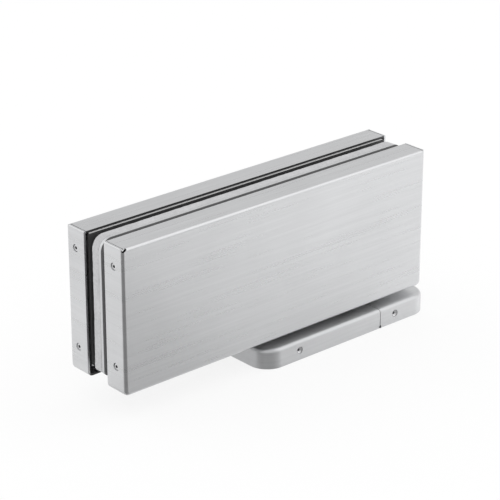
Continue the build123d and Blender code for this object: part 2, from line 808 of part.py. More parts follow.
def make_end_plug():
    """The plug that closes the cylinder, with a hexagon socket and a ring groove."""
    start = (block_left, 0, cylinder_z)
    plug = bar(start, (1, 0, 0), cylinder_radius - seated, plug_length)
    plug = plug - hex_bar(start, (1, 0, 0), plug_hex_width, plug_hex_depth)
    groove_x = plug_right - 3 * plug_o_ring_radius
    width = 2 * plug_o_ring_radius + 2 * seated
    inner = cylinder_radius - 2 * plug_o_ring_radius - 2 * seated
    groove = ring((groove_x - width / 2, 0, cylinder_z), (1, 0, 0), cylinder_radius, inner, width)
    return plug - groove


def make_end_plug_o_ring():
    """The rubber ring of the end plug."""
    centre = (plug_right - 3 * plug_o_ring_radius, 0, cylinder_z)
    return o_ring(centre, (1, 0, 0), cylinder_radius - seated, plug_o_ring_radius)


def make_channel_plug():
    """The grub screw that closes the drilled end of the oil channel."""
    start = (block_left, -channel_offset, channel_z)
    return grub_screw(start, (1, 0, 0), channel_radius - seated, channel_plug_length)


def make_valve(x):
    """A speed valve: a slotted screw with a ring groove and a thin regulating tip."""
    start = (x, -casting_y, channel_z)
    valve = bar(start, (0, 1, 0), valve_radius, valve_length)
    valve = valve + bar(start, (0, 1, 0), valve_tip_radius, valve_length + valve_tip_length)
    slot_depth = valve_radius / 2
    slot = Pos(x, -casting_y, channel_z) * Box(2 * valve_radius, 2 * slot_depth, slot_depth / 2)
    inner = valve_radius - 2 * valve_o_ring_radius
    width = 2 * valve_o_ring_radius + 2 * seated
    groove_start = (x, -casting_y + valve_length / 2 - width / 2, channel_z)
    return valve - slot - ring(groove_start, (0, 1, 0), valve_radius + seated, inner, width)


def make_valve_o_ring(x):
    """The rubber ring of a speed valve."""
    centre = (x, -casting_y + valve_length / 2, channel_z)
    return o_ring(centre, (0, 1, 0), valve_radius, valve_o_ring_radius)


# Base on the floor

def rounded_slab(left, right, half_width, bottom, top, corner):
    """A slab with four round corners in plan."""
    slab = box_between((left, -half_width, bottom), (right, half_width, top))
    return fillet(slab.edges().filter_by(Axis.Z), corner)


def base_cover_shell():
    """Both base covers in one, before they are parted at the spindle."""
    outer = rounded_slab(
        -base_left_reach, base_right_reach, base_half_width, 0, base_cover_height, base_corner_radius
    )
    outer = fillet(outer.faces().sort_by(Axis.Z)[-1].edges(), base_top_radius)
    inner = rounded_slab(
        -base_left_reach + base_cover_sheet, base_right_reach - base_cover_sheet,
        base_half_width - base_cover_sheet, -cut_over, base_cover_height - base_cover_sheet,
        base_corner_radius - base_cover_sheet,
    )
    inner_radius = max(base_top_radius - base_cover_sheet, least_fillet)
    inner = fillet(inner.faces().sort_by(Axis.Z)[-1].edges(), inner_radius)
    shell = outer - inner
    hole_radius = spindle_radius + base_cover_clearance
    shell = shell - bar((0, 0, 0), (0, 0, 1), hole_radius, base_cover_height + cut_over)
    reach = base_half_width + cut_over
    shell = shell - bar((0, -reach, 0), (0, 1, 0), split_notch_radius, 2 * reach)
    for x in base_screw_places:
        for side in (-1, 1):
            start = (x, side * reach, base_screw_height)
            radius = base_screw_radius + screw_hole_room
            shell = shell - bar(start, (0, -side, 0), radius, base_cover_sheet + 2 * cut_over)
    return shell


def base_cover(low_x, high_x):
    """One of the two base covers."""
    reach = base_half_width + cut_over
    low = (low_x, -reach, -cut_over)
    high = (high_x, reach, base_cover_height + cut_over)
    return base_cover_shell() & box_between(low, high)


def make_base_plate():
    """The steel plate on the floor, with the spindle's square socket."""
    corner = base_corner_radius - plate_inset
    plate = rounded_slab(plate_left, plate_right, plate_half_width, 0, plate_thickness, corner)
    socket_half = spindle_foot_width / 2 + seated
    plate = plate - box_between(
        (-socket_half, -socket_half, spindle_foot_floor),
        (socket_half, socket_half, plate_thickness + cut_over),
    )
    sink_depth = floor_sink_radius - floor_hole_radius
    for x in (plate_left + floor_hole_end_inset, plate_right - floor_hole_end_inset):
        for y in (-plate_half_width + floor_hole_side_inset, plate_half_width - floor_hole_side_inset):
            hole_start = (x, y, -cut_over)
            hole_length = plate_thickness + 2 * cut_over
            plate = plate - bar(hole_start, (0, 0, 1), floor_hole_radius, hole_length)
            sink = Cone(floor_hole_radius, floor_sink_radius, sink_depth)
            plate = plate - Pos(x, y, plate_thickness - sink_depth / 2) * sink
    for side in (-1, 1):
        screw_y = side * (plate_half_width + cut_over)
        way = (0, -side, 0)
        plate = plate - bar((0, screw_y, foot_screw_z), way, foot_screw_radius + seated, plate_half_width)
        for x in base_screw_places:
            depth = base_screw_length + cut_over
            hole = bar((x, screw_y, base_screw_height), way, base_screw_radius + seated, depth)
            plate = plate - hole
    return plate


def make_spindle_set_screws():
    """The two grub screws that lock the spindle's square foot."""
    screws = []
    for side in (-1, 1):
        start_y = side * (spindle_foot_width / 2 + seated + foot_screw_length)
        start = (0, start_y, foot_screw_z)
        screws.append(grub_screw(start, (0, -side, 0), foot_screw_radius, foot_screw_length))
    return all_of(screws)


def make_base_cover_screws():
    """The four grub screws in the sides of the base covers."""
    screws = []
    for x in base_screw_places:
        for side in (-1, 1):
            start = (x, side * (base_half_width - screw_recess), base_screw_height)
            screws.append(grub_screw(start, (0, -side, 0), base_screw_radius, base_screw_length))
    return all_of(screws)


def mirrored_to_front(shape):
    """A rear piece, mirrored to the front side."""
    return mirror(shape, about=Plane.XZ)


rear_cover = folded_cover()
nodes = {
    "base_plate": make_base_plate(),
    "spindle": make_spindle(),
    "spindle_set_screws": make_spindle_set_screws(),
    "bearing_inner_ring": make_bearing_inner_ring(),
    "long_base_cover": base_cover(-base_left_reach - cut_over, -base_split / 2),
    "short_base_cover": base_cover(base_split / 2, base_right_reach + cut_over),
    "base_cover_screws": make_base_cover_screws(),
    "closer_body": make_closer_body(),
    "rear_clamp_plate": make_rear_clamp_plate(),
    "clamp_sleeves": make_clamp_sleeves(),
    "plate_screws": make_plate_screws(),
    "rear_gasket": make_rear_gasket(),
    "rear_cover": rear_cover,
    "rear_cover_screws": cover_screws(1),
    "bearing_outer_ring": make_bearing_outer_ring(),
    "bearing_balls": make_bearing_balls(),
    "bearing_cage": make_bearing_cage(),
    "spindle_seal": make_spindle_seal(),
    "seal_retainer": make_seal_retainer(),
    "top_bush": make_top_bush(),
    "end_plug": make_end_plug(),
    "end_plug_o_ring": make_end_plug_o_ring(),
    "left_spring": make_spring(plug_right, head_left),
    "right_spring": make_spring(head_right, guide_left),
    "guide_ring": make_guide_ring(),
    "guide_retaining_ring": make_guide_retaining_ring(),
    "channel_plug": make_channel_plug(),
    "closing_valve": make_valve(closing_valve_x),
    "closing_valve_o_ring": make_valve_o_ring(closing_valve_x),
    "latching_valve": make_valve(latching_valve_x),
    "latching_valve_o_ring": make_valve_o_ring(latching_valve_x),
    "rack_rod": make_rack_rod(),
    "piston_head": make_piston_head(),
    "piston_seal_ring": make_piston_seal_ring(),
    "check_valve_ball": make_check_valve_ball(),
    "check_valve_plug": make_check_valve_plug(),
    "front_clamp_plate": make_front_clamp_plate(),
    "front_gasket": make_front_gasket(),
    "front_cover": mirrored_to_front(rear_cover),
    "front_cover_screws": cover_screws(-1),
    "clamp_bolts": make_clamp_bolts(),
    "clamp_washers": make_clamp_washers(),
}

os.makedirs("parts", exist_ok=True)
for name, shape in nodes.items():
    export_step(shape, f"parts/{name}.step")
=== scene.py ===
import json
from math import pi, radians

import bmesh
import bpy
from mathutils import Matrix, Vector


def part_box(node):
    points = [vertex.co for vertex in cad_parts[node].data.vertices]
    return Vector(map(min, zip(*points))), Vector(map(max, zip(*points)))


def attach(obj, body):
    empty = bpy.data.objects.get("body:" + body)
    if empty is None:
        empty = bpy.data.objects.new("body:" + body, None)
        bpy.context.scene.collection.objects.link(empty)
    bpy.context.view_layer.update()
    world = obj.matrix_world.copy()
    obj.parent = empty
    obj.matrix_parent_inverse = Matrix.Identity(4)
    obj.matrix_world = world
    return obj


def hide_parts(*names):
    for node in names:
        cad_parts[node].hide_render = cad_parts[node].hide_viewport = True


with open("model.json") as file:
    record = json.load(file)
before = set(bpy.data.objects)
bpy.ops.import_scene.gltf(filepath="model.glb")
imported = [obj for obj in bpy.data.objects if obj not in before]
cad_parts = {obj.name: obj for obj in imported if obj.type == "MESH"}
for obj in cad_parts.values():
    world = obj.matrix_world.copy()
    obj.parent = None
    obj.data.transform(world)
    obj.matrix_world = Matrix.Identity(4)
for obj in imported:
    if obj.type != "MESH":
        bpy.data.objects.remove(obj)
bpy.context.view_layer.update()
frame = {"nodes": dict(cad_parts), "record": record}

bl_info = {
    "name": "Hydraulic floor hinge",
    "version": (1, 0, 0),
    "blender": (4, 5, 0),
    "location": "View3D > Sidebar > Floor hinge",
    "description": "Dresses the packed floor hinge: folded covers, gaskets, screws, finishes and a studio",
    "category": "Object",
}

MM = 0.001
FRONT, REAR = -1, 1
COVER_BOXES = {FRONT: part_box("front_cover"), REAR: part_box("rear_cover")}
SCREW_NODES = {FRONT: "front_cover_screws", REAR: "rear_cover_screws"}
BASE_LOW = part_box("long_base_cover")[0]
BASE_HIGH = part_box("short_base_cover")[1]
# In front of this depth the casting is coloured dark, painted shade for the gap before the front cover; its
# flange behind it is bare
FLANGE_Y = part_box("front_gasket")[0].y - 1.55 * MM

ROOM = 0.02 * MM                # Lengths that differ by less are the same
FACING = 0.99                   # A face looks along an axis when its normal has this much of it
FLAT = 0.7                      # Above this share of Z in its normal, a face lies more than it stands
NOTCH_TURN = -22                # Slant of the relief slit in degrees
HOLE_OUT, HOLE_IN = 2 * MM, 3 * MM    # How far a hole's cutter reaches out of the sheet and into it
INNER_CHAMFER, LIP_CHAMFER, CUP_RIM = 0.2, 0.05, 0.9    # Shares of a grub screw's radius
SOFT_EDGE = 0.15 * MM           # Rounding of the rubber gasket's edges
NOISE_LOW, NOISE_HIGH = 0.25, 0.75    # Nearly all of a noise lies between these

CAMERA_PLACE = (-0.76579, -0.79370, 0.51326)
CAMERA_DOWN, CAMERA_TURN = 23.335, -41.180    # Degrees below level, and round from +Y
CAMERA_LENS = 157.3
STUDIO_MIDDLE = (-0.07, 0.0, 0.05)
HAZE_TOP = 0.30                 # Height over the horizon, as a share of 1, where the backdrop is plain
# How bright metal sees the studio at each bearing, in degrees from +X, level and below
AROUND_LEVELS = (
    (-180, 0.45), (-165, 0.25), (-100, 0.20), (-75, 0.32), (-58, 0.60), (-42, 1.05), (-15, 1.22),
    (60, 1.0), (120, 0.90), (150, 0.96), (168, 0.85), (180, 0.45),
)
# The same for the floor in front of the hinge, along X, and its one level behind
FLOOR_LEVELS = ((-0.30, 0.28), (-0.17, 0.30), (-0.13, 0.46), (-0.03, 0.86), (0.06, 1.08), (0.20, 1.15))
FLOOR_REACH = 0.30
FLOOR_BACK = (-0.03, 0.02)
BACK_LEVEL = 0.93
FLOOR_SIZE = 8.0
FLOOR_GLOW = 1.02               # What the camera sees of the floor, with the shadow's share left out


def length(name, description, millimetres):
    """A length that the user may change, given in millimetres."""
    return bpy.props.FloatProperty(
        name=name, description=description, default=millimetres * MM, min=0.0, unit="LENGTH", precision=5
    )


def position(name, description, millimetres):
    """A place along an axis that the user may change, given in millimetres."""
    return bpy.props.FloatProperty(
        name=name, description=description, default=millimetres * MM, unit="LENGTH", precision=5
    )


def colour(name, description, default):
    """A colour that the user may change."""
    return bpy.props.FloatVectorProperty(
        name=name, description=description, default=default, min=0.0, max=1.0, size=3, subtype="COLOR"
    )


def share(name, description, default):
    """A share from nothing to all."""
    return bpy.props.FloatProperty(
        name=name, description=description, default=default, min=0.0, max=1.0, subtype="FACTOR"
    )


def strength(name, description, default):
    """A strength of light."""
    return bpy.props.FloatProperty(name=name, description=description, default=default, min=0.0)


class HingeCoverSizes(bpy.types.PropertyGroup):
    """Sizes of the folded covers and of the base covers."""

    sheet: length("Sheet", "Thickness of the folded covers' sheet", 1.2)
    fold: length("Fold radius", "Outer radius of the folds round a cover's face", 2.0)
    bottom_corner: length("Bottom corner", "Radius of a cover's bottom corners", 3.0)
    edge: length("Edge", "Rounding of the end flanges' top edge", 0.6)
    rim: length("Rim", "Rounding of the rims beside the glass", 0.12)
    seam: length("Seam", "Width of the seam between two flanges", 0.38)
    notch: length("Notch", "Length of the relief slit where two folds meet", 2.8)
    notch_width: length("Notch width", "Width of that slit", 0.85)
    notch_inset: length("Notch inset", "Distance of that slit from the cover's end", 1.8)
    notch_drop: length("Notch drop", "Distance of that slit below the cover's top", 0.95)
    nick: length("Nick", "Radius of the relief in the bottom fold", 0.8)
    nick_x: position("Nick place", "Place of that relief along the cover", -68.0)
    hole: length("Screw hole", "Radius of the holes for the grub screws", 2.04)
    hole_edge: length("Hole edge", "Chamfer round those holes", 0.07)
    base_sheet: length("Base sheet", "Thickness of the base covers' sheet", 1.5)
    base_corner: length("Base corner", "Radius of the base's corners in plan", 11.5)
    base_fold: length("Base fold", "Radius of the base covers' top edge", 2.0)
    base_split: length("Base joint", "Width of the joint between the base covers", 0.3)
    base_hole: length("Spindle hole", "Radius of the hole round the spindle", 8.5)
    base_notch: length("Joint notch", "Radius of the notch at the joint's foot", 0.9)


class HingeGasketSizes(bpy.types.PropertyGroup):
    """Sizes of the two gaskets."""

    arm_bottom: position("Arm bottom", "Height of the upper arm's underside", 70.0)
    leg_right: position("Leg side", "Place of the leg's inner side", -160.0)
    top_corner: length("Top corner", "Radius of the fibre gasket's top corners", 6.8)
    rubber_corner: length("Rubber corner", "Radius of the rubber gasket's top corners", 1.2)
    foot_corner: length("Foot corner", "Radius at the gaskets' foot", 3.0)
    fibre_voxel: length("Fibre detail", "Mesh size of the fibre gasket", 0.5)
    fibre_swell: length("Fibre waviness", "Height of the waves in the fibre's surface", 0.35)
    fibre_bow: length("Fibre bow", "How far the fibre's foot stands off", 0.7)
    fibre_edge: length("Fibre edge", "Chamfer of the fibre where it lies on the flange", 0.55)


class HingeScrewSizes(bpy.types.PropertyGroup):
    """Sizes of the grub screws."""

    radius: length("Radius", "Radius of a grub screw", 2.0)
    end_length: length("End screw", "Length of an end screw", 7.0)
    base_length: length("Base screw", "Length of a base cover's screw", 6.0)
    round_end: length("Round end", "Rounding of an end screw's outer end", 0.6)
    cup: length("Cup", "Depth of the cone at a base screw's outer end", 0.7)
    cup_radius: length("Cup floor", "Radius at the foot of that cone", 0.95)
    hexagon: length("Hexagon", "Radius of the hexagon socket", 0.9)
    socket: length("Socket", "Depth of the hexagon socket", 2.4)


class HingeColours(bpy.types.PropertyGroup):
    """Colours of the finishes."""

    stainless: colour("Stainless", "Satin stainless sheet", (0.700, 0.705, 0.715))
    # Painted shade: this dark colour of the sheet's cut edges beside the glass and in the relief slit
    # stands in for the shade there
    painted_edge_shade: colour("Cut edges", "Dull cut edges of the sheet beside the glass", (0.09, 0.09, 0.092))
    screw: colour("Screws", "Stainless grub screws", (0.72, 0.72, 0.73))
    casting: colour("Castings", "Cast aluminium", (0.72, 0.725, 0.735))
    zinc: colour("Zinc", "Zinc-plated steel", (0.62, 0.64, 0.66))
    ground: colour("Ground steel", "Ground steel of the spindle and the piston", (0.55, 0.55, 0.56))
    bearing: colour("Bearing steel", "Polished bearing rings and balls", (0.60, 0.61, 0.62))
    spring: colour("Springs", "Spring steel", (0.22, 0.22, 0.23))
    bolt: colour("Bolts", "Black-finished bolt steel", (0.035, 0.036, 0.038))
    rubber: colour("Black gasket", "Black rubber gasket", (0.045, 0.045, 0.046))
    # Painted light: the pale colour that faces looking up take, for the light that falls on them from above
    painted_top_light: colour("Dust", "Pale dust on the rubber gasket's cut edge", (0.70, 0.70, 0.70))
    # Painted shade: this dark colour of the front casting before its flange stands in for the shade in the
    # gap
    paint: colour("Casting paint", "Dark paint of the front casting before its flange", (0.25, 0.25, 0.255))
    seal: colour("Seals", "Seal rubber", (0.018, 0.018, 0.019))
    fibre: colour("Fibre", "Pale fibre gasket", (0.60, 0.60, 0.61))
    bronze: colour("Bronze", "Sintered bronze bush", (0.55, 0.35, 0.16))
    nylon: colour("Nylon", "Nylon cage and ring", (0.75, 0.72, 0.64))


class HingeStudio(bpy.types.PropertyGroup):
    """The studio round the hinge."""

    floor: colour("Floor", "Pale floor", (0.98, 0.98, 0.98))
    sky: strength("Sky", "Strength of the surrounding light", 0.85)
    backdrop: strength("Backdrop", "How bright metal sees the surroundings above the horizon", 0.73)
    key: strength("Key", "Power of the key softbox in watts", 2.3)
    fill: strength("Fill", "Power of the side softbox in watts", 2.2)
    shadow: share("Shadow", "How much of the object's shadow the floor keeps", 0.18)
    dark_side: share("Dark side", "Lowest brightness of the side that metal sees dark", 0.08)
    floor_clear: share("Clear floor", "How far metal sees through the floor", 0.5)


# Selecting and shaping

def clear_selection():
    """Leaves edit mode and deselects everything."""
    if bpy.context.mode != "OBJECT":
        bpy.ops.object.mode_set(mode="OBJECT")
    bpy.ops.object.select_all(action="DESELECT")


def pick(piece):
    """Makes one piece the only selected and the active one."""
    clear_selection()
    piece.select_set(True)
    bpy.context.view_layer.objects.active = piece


def named(name):
    """Gives the new primitive a name and puts its place into its mesh."""
    piece = bpy.context.active_object
    piece.name = piece.data.name = name
    bpy.ops.object.transform_apply(location=True, rotation=True, scale=True)
    return piece


def block(name, low, high):
    """A box between two corners."""
    clear_selection()
    low, high = Vector(low), Vector(high)
    bpy.ops.mesh.primitive_cube_add(size=1, location=(low + high) / 2, scale=high - low)
    return named(name)


def rod(name, start, end, radius, sides):
    """A round bar between two points."""
    clear_selection()
    start, end = Vector(start), Vector(end)
    way = end - start
    turn = way.to_track_quat("Z", "Y").to_euler()
    bpy.ops.mesh.primitive_cylinder_add(
        vertices=sides, radius=radius, depth=way.length, location=(start + end) / 2, rotation=turn
    )
    return named(name)


def own_copy(piece, name):
    """A copy of a piece with its own mesh."""
    twin = piece.copy()
    twin.data = piece.data.copy()
    twin.name = twin.data.name = name
    bpy.context.scene.collection.objects.link(twin)
    return twin


def choose(piece, kind, test):
    """In edit mode, selects the faces or edges that pass a test."""
    pick(piece)
    bpy.ops.object.mode_set(mode="EDIT")
    bpy.ops.mesh.select_mode(type=kind)
    bpy.ops.mesh.select_all(action="DESELECT")
    mesh = bmesh.from_edit_mesh(piece.data)
    chosen = [item for item in (mesh.faces if kind == "FACE" else mesh.edges) if test(item)]
    if not chosen:
        raise RuntimeError(f"nothing to select on {piece.name}")
    for item in chosen:
        item.select_set(True)
    bmesh.update_edit_mesh(piece.data)


def close_to(a, b):
    """Whether two lengths are the same but for rounding."""
    return abs(a - b) < ROOM


def edge_at(edge, **places):
    """Whether both ends of an edge lie at the given x, y or z."""
    return all(close_to(getattr(v.co, axis), value) for v in edge.verts for axis, value in places.items())


def stands_upright(edge):
    """Whether an edge runs along Z."""
    one, other = (vertex.co for vertex in edge.verts)
    return close_to(one.x, other.x) and close_to(one.y, other.y)


def round_edges(piece, test, radius, segments):
    """Rounds the edges that pass a test."""
    choose(piece, "EDGE", test)
    bpy.ops.mesh.bevel(offset=radius, segments=segments, affect="EDGES", clamp_overlap=True)
    bpy.ops.object.mode_set(mode="OBJECT")


def drop_faces(piece, test):
    """Deletes the faces that pass a test."""
    choose(piece, "FACE", test)
    bpy.ops.mesh.delete(type="FACE")
    bpy.ops.object.mode_set(mode="OBJECT")


def bisect(piece, x, **options):
    """Cuts through a piece across X."""
    pick(piece)
    bpy.ops.object.mode_set(mode="EDIT")
    bpy.ops.mesh.select_all(action="SELECT")
    bpy.ops.mesh.bisect(plane_co=(x, 0, 0), plane_no=(1, 0, 0), **options)
    bpy.ops.object.mode_set(mode="OBJECT")


def modify(piece, kind, **settings):
    """Adds one modifier to a piece and applies it."""
    pick(piece)
    modifier = piece.modifiers.new(kind, kind)
    for name, value in settings.items():
        setattr(modifier, name, value)
    bpy.ops.object.modifier_apply(modifier=modifier.name)


def thicken(piece, thickness):
    """Gives a shell its wall, inwards."""
    modify(piece, "SOLIDIFY", thickness=thickness, offset=-1, use_even_offset=True)


def cut(piece, tool):
    """Cuts a tool's shape out of a piece and removes the tool."""
    modify(piece, "BOOLEAN", operation="DIFFERENCE", solver="EXACT", object=tool)
    bpy.data.objects.remove(tool)


def smooth(piece):
    """Shades a piece smooth, with its flat faces kept flat."""
    pick(piece)
    bpy.ops.object.shade_smooth_by_angle(angle=radians(32))
    modify(piece, "WEIGHTED_NORMAL", keep_sharp=True)


def finish_piece(piece, body, material, node):
    """Gives a piece its material and its body, and hides the node that it stands for."""
    piece.data.materials.clear()
    piece.data.materials.append(material)
    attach(piece, body)
    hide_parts(node)


# Materials

class Nodes:
    """Adds nodes to a tree. An input takes a number, a colour or another node's socket."""

    def __init__(self, tree):
        self.tree = tree

    def give(self, socket, value):
        """Links another node's socket to an input, or sets the input's own value."""
        if isinstance(value, bpy.types.NodeSocket):
            self.tree.links.new(value, socket)
        else:
            socket.default_value = value

    def add(self, kind, inputs=None, **settings):
        """A new node with its settings and inputs."""
        node = self.tree.nodes.new("ShaderNode" + kind)
        for name, value in settings.items():
            setattr(node, name, value)
        for key, value in (inputs or {}).items():
            self.give(node.inputs[key], value)
        return node

    def parts(self, vector):
        """A vector's X, Y and Z."""
        return self.add("SeparateXYZ", {"Vector": vector}).outputs

    def math(self, kind, one, other=0.0, **settings):
        """A sum, a comparison or the like."""
        return self.add("Math", {0: one, 1: other}, operation=kind, **settings).outputs[0]

    def mix(self, factor, one, other):
        """Two values, mixed."""
        return self.add("Mix", {0: factor, 2: one, 3: other}).outputs[0]

    def mix_colours(self, factor, one, other):
        """Two colours, mixed."""
        return self.add("Mix", {0: factor, 6: one, 7: other}, data_type="RGBA").outputs[2]

    def span(self, value, low, high, to_low=0.0, to_high=1.0):
        """Runs from one value to another while a value goes from low to high."""
        limits = {"From Min": low, "From Max": high, "To Min": to_low, "To Max": to_high}
        return self.add("MapRange", {"Value": value, **limits}).outputs["Result"]

    def levels(self, factor, stops, darkest):
        """A smooth grey ramp through stops, none of them under the darkest."""
        ramp = self.add("ValToRGB", {"Fac": factor})
        ramp.color_ramp.interpolation = "EASE"
        elements = ramp.color_ramp.elements
        while len(elements) < len(stops):
            elements.new(0.5)
        for element, (place, _) in zip(elements, stops):
            element.position = place
        for element, (_, level) in zip(elements, stops):
            grey = max(level, darkest)
            element.color = (grey, grey, grey, 1)
        return ramp.outputs["Color"]


class Finish(Nodes):
    """A node material that is put together step by step."""

    def __init__(self, name):
        self.material = bpy.data.materials.new(name)
        self.material.use_nodes = True
        super().__init__(self.material.node_tree)
        self.shader = self.tree.nodes["Principled BSDF"]
        self.place = self.add("TexCoord").outputs["Object"]

    def set(self, **values):
        """Sets or links the shader's own sockets."""
        for name, value in values.items():
            self.give(self.shader.inputs[name.replace("_", " ")], value)

    def facing(self):
        """The X, Y and Z of the way a face looks."""
        return self.parts(self.add("NewGeometry").outputs["Normal"])

    def stretched(self, scale):
        """Object coordinates, stretched along each axis."""
        return self.add("Mapping", {"Vector": self.place, "Scale": scale}).outputs["Vector"]

    def noise(self, vector, scale, detail, roughness):
        """Noise over those coordinates."""
        kind = {"Vector": vector, "Scale": scale, "Detail": detail, "Roughness": roughness}
        return self.add("TexNoise", kind).outputs["Fac"]

    def about(self, noise, middle, swing):
        """Runs from a little below a value to a little above it."""
        return self.span(noise, NOISE_LOW, NOISE_HIGH, middle - swing, middle + swing)

    def tint(self, noise, base, spread):
        """A colour that is a little darker and lighter from place to place."""
        ramp = self.add("ValToRGB", {"Fac": noise})
        stops = zip(ramp.color_ramp.elements, (NOISE_LOW, NOISE_HIGH), (1 - spread, 1 + spread))
        for stop, place, light in stops:
            stop.position = place
            stop.color = (*(min(1.0, part * light) for part in base), 1)
        return ramp.outputs["Color"]

    def relief(self, height, strength, distance):
        """Bumps from a height."""
        bump = {"Height": height, "Strength": strength, "Distance": distance}
        return self.add("Bump", bump).outputs["Normal"]


def brushed_metal(name, base, rough, stretch=0.6):
    """Brushed sheet: the grain runs along the object, level on the upright faces."""
    finish = Finish(name)
    lies_flat = finish.math("GREATER_THAN", finish.math("ABSOLUTE", finish.facing()["Z"]), FLAT)
    across, along = 560.0, 14.0
    upright, level = (
        finish.noise(finish.stretched(scale), scale=1.0, detail=5.0, roughness=0.62)
        for scale in ((along, along, across), (along, across, along))
    )
    streaks = finish.mix(lies_flat, upright, level)
    cloud = finish.noise(finish.place, scale=22.0, detail=2.0, roughness=0.5)
    grain_way = finish.add(
        "VectorTransform", {"Vector": (0.0, 0.02, 1.0)},
        vector_type="VECTOR", convert_from="OBJECT", convert_to="WORLD",
    )
    finish.set(
        Metallic=1.0,
        Anisotropic=stretch,
        Base_Color=finish.tint(finish.mix(0.35, streaks, cloud), base, spread=0.09),
        Roughness=finish.about(streaks, rough, swing=0.035),
        Normal=finish.relief(streaks, strength=0.10, distance=0.03 * MM),
        Tangent=grain_way.outputs["Vector"],
    )
    return finish


def folded_sheet(name, base, rough, edge_shade):
    """Brushed sheet with painted shade: its cut edges beside the glass and in the relief slit are coloured
    dark to stand in for the shade that falls there.
    """
    finish = brushed_metal(name, base, rough)
    sizes = bpy.context.scene.hinge_covers
    low, high = COVER_BOXES[REAR]
    middle, half = (low.x + high.x) / 2, (high.x - low.x) / 2
    slack, slit_depth = 0.05 * MM, 0.12 * MM
    place = finish.parts(finish.place)
    depth = finish.math("ABSOLUTE", place["Y"])
    off_middle = finish.math("ABSOLUTE", finish.math("SUBTRACT", place["X"], middle))
    past_flange = finish.math("GREATER_THAN", off_middle, half - sizes.sheet - slack)
    rim = finish.math("LESS_THAN", depth, low.y + slack)
    long_rim = finish.math("SUBTRACT", rim, past_flange, use_clamp=True)
    past_fold = finish.math("SUBTRACT", off_middle, half - sizes.fold)
    from_fold = finish.add("CombineXYZ", {
        "X": finish.math("MAXIMUM", past_fold, 0.0),
        "Y": finish.math("SUBTRACT", depth, high.y - sizes.fold),
        "Z": finish.math("SUBTRACT", place["Z"], high.z - sizes.fold),
    })
    reach = finish.add("VectorMath", {0: from_fold.outputs["Vector"]}, operation="LENGTH")
    slit = finish.math("LESS_THAN", reach.outputs["Value"], sizes.fold - slit_depth)
    # Painted shade: the rim beside the glass and the walls of the relief slit take the dark colour
    shaded_edge = finish.math("MAXIMUM", long_rim, slit)
    bright = finish.shader.inputs["Base Color"].links[0].from_socket
    finish.set(Base_Color=finish.mix_colours(shaded_edge, bright, (*edge_shade, 1)))
    return finish


def grained_metal(name, base, rough, grain, spread=0.06, relief=0.25):
    """Cast, plated or drawn metal with a fine even grain."""
    finish = Finish(name)
    fine = finish.noise(finish.place, grain, detail=4.0, roughness=0.6)
    cloud = finish.noise(finish.place, grain / 24, detail=3.0, roughness=0.55)
    finish.set(
        Metallic=1.0,
        Base_Color=finish.tint(finish.mix(0.5, fine, cloud), base, spread),
        Roughness=finish.about(fine, rough, swing=0.06),
        Normal=finish.relief(fine, relief, distance=0.08 * MM),
    )
    return finish


def turned_metal(name, base, rough, axis):
    """Turned or ground metal with fine rings along its axis."""
    finish = Finish(name)
    rings, even = 2600.0, 20.0
    scale = [rings if each == axis else even for each in "XYZ"]
    fine = finish.noise(finish.stretched(scale), scale=1.0, detail=3.0, roughness=0.55)
    cloud = finish.noise(finish.place, scale=90.0, detail=3.0, roughness=0.5)
    finish.set(
        Metallic=1.0,
        Base_Color=finish.tint(finish.mix(0.4, fine, cloud), base, spread=0.06),
        Roughness=finish.about(fine, rough, swing=0.05),
        Normal=finish.relief(fine, strength=0.12, distance=0.03 * MM),
    )
    return finish


def lighter_on_top(finish, hue, painted_top_light, most):
    """Painted light: a colour that runs, by a share, to a paler one on the faces that look up, standing in
    for the light that falls on top.
    """
    top = finish.span(finish.facing()["Z"], 0.75, 0.95, to_high=most)
    return finish.mix_colours(top, hue, (*painted_top_light, 1))


def casting_with_painted_light(name, base, paint, painted_top_light, edge_y):
    """Cast aluminium, bare on its flange, with painted shade: dark in front of it, in the gap before the
    front cover, and with painted light: paler on the faces that look up.
    """
    finish = Finish(name)
    fine = finish.noise(finish.place, scale=900.0, detail=4.0, roughness=0.6)
    bare = finish.math("GREATER_THAN", finish.parts(finish.place)["Y"], edge_y)
    # Painted shade in the gap, made paler by painted light on the faces that look up
    coat = lighter_on_top(finish, (*paint, 1), painted_top_light, most=0.30)
    finish.set(
        Base_Color=finish.mix_colours(bare, coat, finish.tint(fine, base, spread=0.05)),
        Metallic=bare,
        Roughness=finish.about(fine, 0.46, swing=0.06),
        Normal=finish.relief(fine, strength=0.25, distance=0.08 * MM),
    )
    return finish


def rubber_with_painted_top_light(name, base, painted_top_light, rough):
    """Black rubber with painted light: its faces that look up are pale, standing in for the light that its
    top edge catches.
    """
    finish = Finish(name)
    fine = finish.noise(finish.place, scale=1400.0, detail=6.0, roughness=0.65)
    finish.set(
        Base_Color=lighter_on_top(finish, finish.tint(fine, base, spread=0.25), painted_top_light, most=1.0),
        Roughness=finish.about(fine, rough, swing=0.08),
        Normal=finish.relief(fine, strength=0.2, distance=0.08 * MM),
    )
    return finish


def soft_stuff(name, base, rough, grain, spread, relief, depth):
    """Rubber, nylon or fibre with a fine even grain."""
    finish = Finish(name)
    fine = finish.noise(finish.place, grain, detail=6.0, roughness=0.65)
    cloud = finish.noise(finish.place, grain / 12, detail=3.0, roughness=0.55)
    finish.set(
        Base_Color=finish.tint(finish.mix(0.4, fine, cloud), base, spread),
        Roughness=finish.about(fine, rough, swing=0.08),
        Normal=finish.relief(fine, relief, depth),
    )
    return finish


